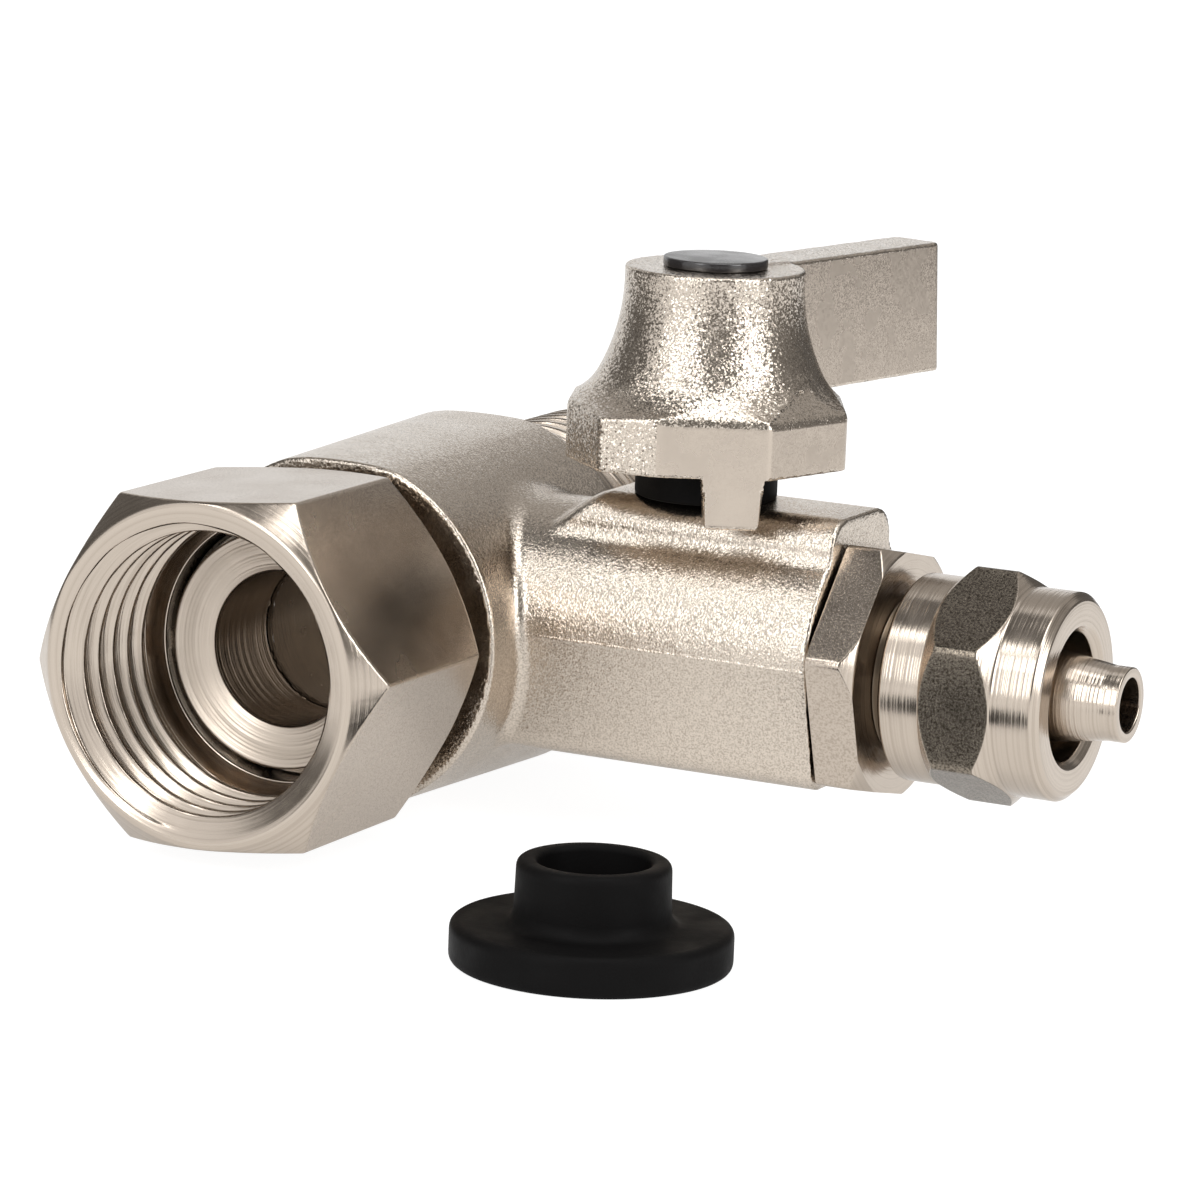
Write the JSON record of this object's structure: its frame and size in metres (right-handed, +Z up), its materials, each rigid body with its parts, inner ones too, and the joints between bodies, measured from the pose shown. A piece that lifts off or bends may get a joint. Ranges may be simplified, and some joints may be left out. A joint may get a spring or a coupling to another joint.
{
  "type": "hose splitter valve",
  "caption": "Nickel-plated tee valve: swivel nut inlet, threaded outlet, and a lever ball valve on the branch with a compression nut and spigot for a small tube.",
  "frame": {"origin": "centre of the tee, where the run's axis crosses the branch's axis", "axes": "+X along the branch towards the tube spigot, +Y along the run towards the threaded outlet, +Z up along the stem"},
  "size_m": [0.0664, 0.0732, 0.0392],
  "materials": {
    "cast_nickel": "nickel plate over shot-blasted cast brass",
    "lever_nickel": "nickel plate over fine cast metal",
    "turned_nickel": "nickel plate over turned and milled brass",
    "polished_brass": "polished chrome plate",
    "steel": "zinc plated",
    "rubber": "moulded, matte",
    "black_plastic": "moulded, satin",
    "seat_plastic": "machined PTFE"
  },
  "bodies": {
    "valve": {"valve_body": "cast_nickel", "nut_retaining_ring": "steel", "inner_seat": "seat_plastic", "outer_seat": "seat_plastic", "stem_ring": "black_plastic", "outlet_insert": "turned_nickel", "insert_o_ring": "rubber"},
    "swivel_nut": {"swivel_nut": "turned_nickel"},
    "washer": {"hat_washer": "rubber"},
    "lever": {"branch_ball": "polished_brass", "stem": "polished_brass", "stem_thrust_washer": "seat_plastic", "stem_o_ring_lower": "rubber", "stem_o_ring_upper": "rubber", "lever_handle": "lever_nickel", "lever_screw": "steel", "lever_spring_washer": "steel", "screw_cap": "black_plastic"},
    "compression_nut": {"compression_nut": "turned_nickel"}
  },
  "joints": [
    {"name": "lever_turn", "type": "hinge", "parent": "valve", "child": "lever", "pos_m": [0.02188, 0, 0], "axis": [0, 0, 1], "range_deg": [-81.5, 8.5]},
    {"name": "swivel_nut_spin", "type": "hinge", "parent": "valve", "child": "swivel_nut", "pos_m": [0, -0.0215, 0], "axis": [0, 1, 0], "continuous": true},
    {"name": "compression_nut_spin", "type": "hinge", "parent": "valve", "child": "compression_nut", "pos_m": [0.0436, 0, 0], "axis": [1, 0, 0], "continuous": true},
    {"name": "washer_lift", "type": "slide", "parent": "valve", "child": "washer", "axis": [0, 0, 1], "range_m": [0, 0.03]}
  ]
}
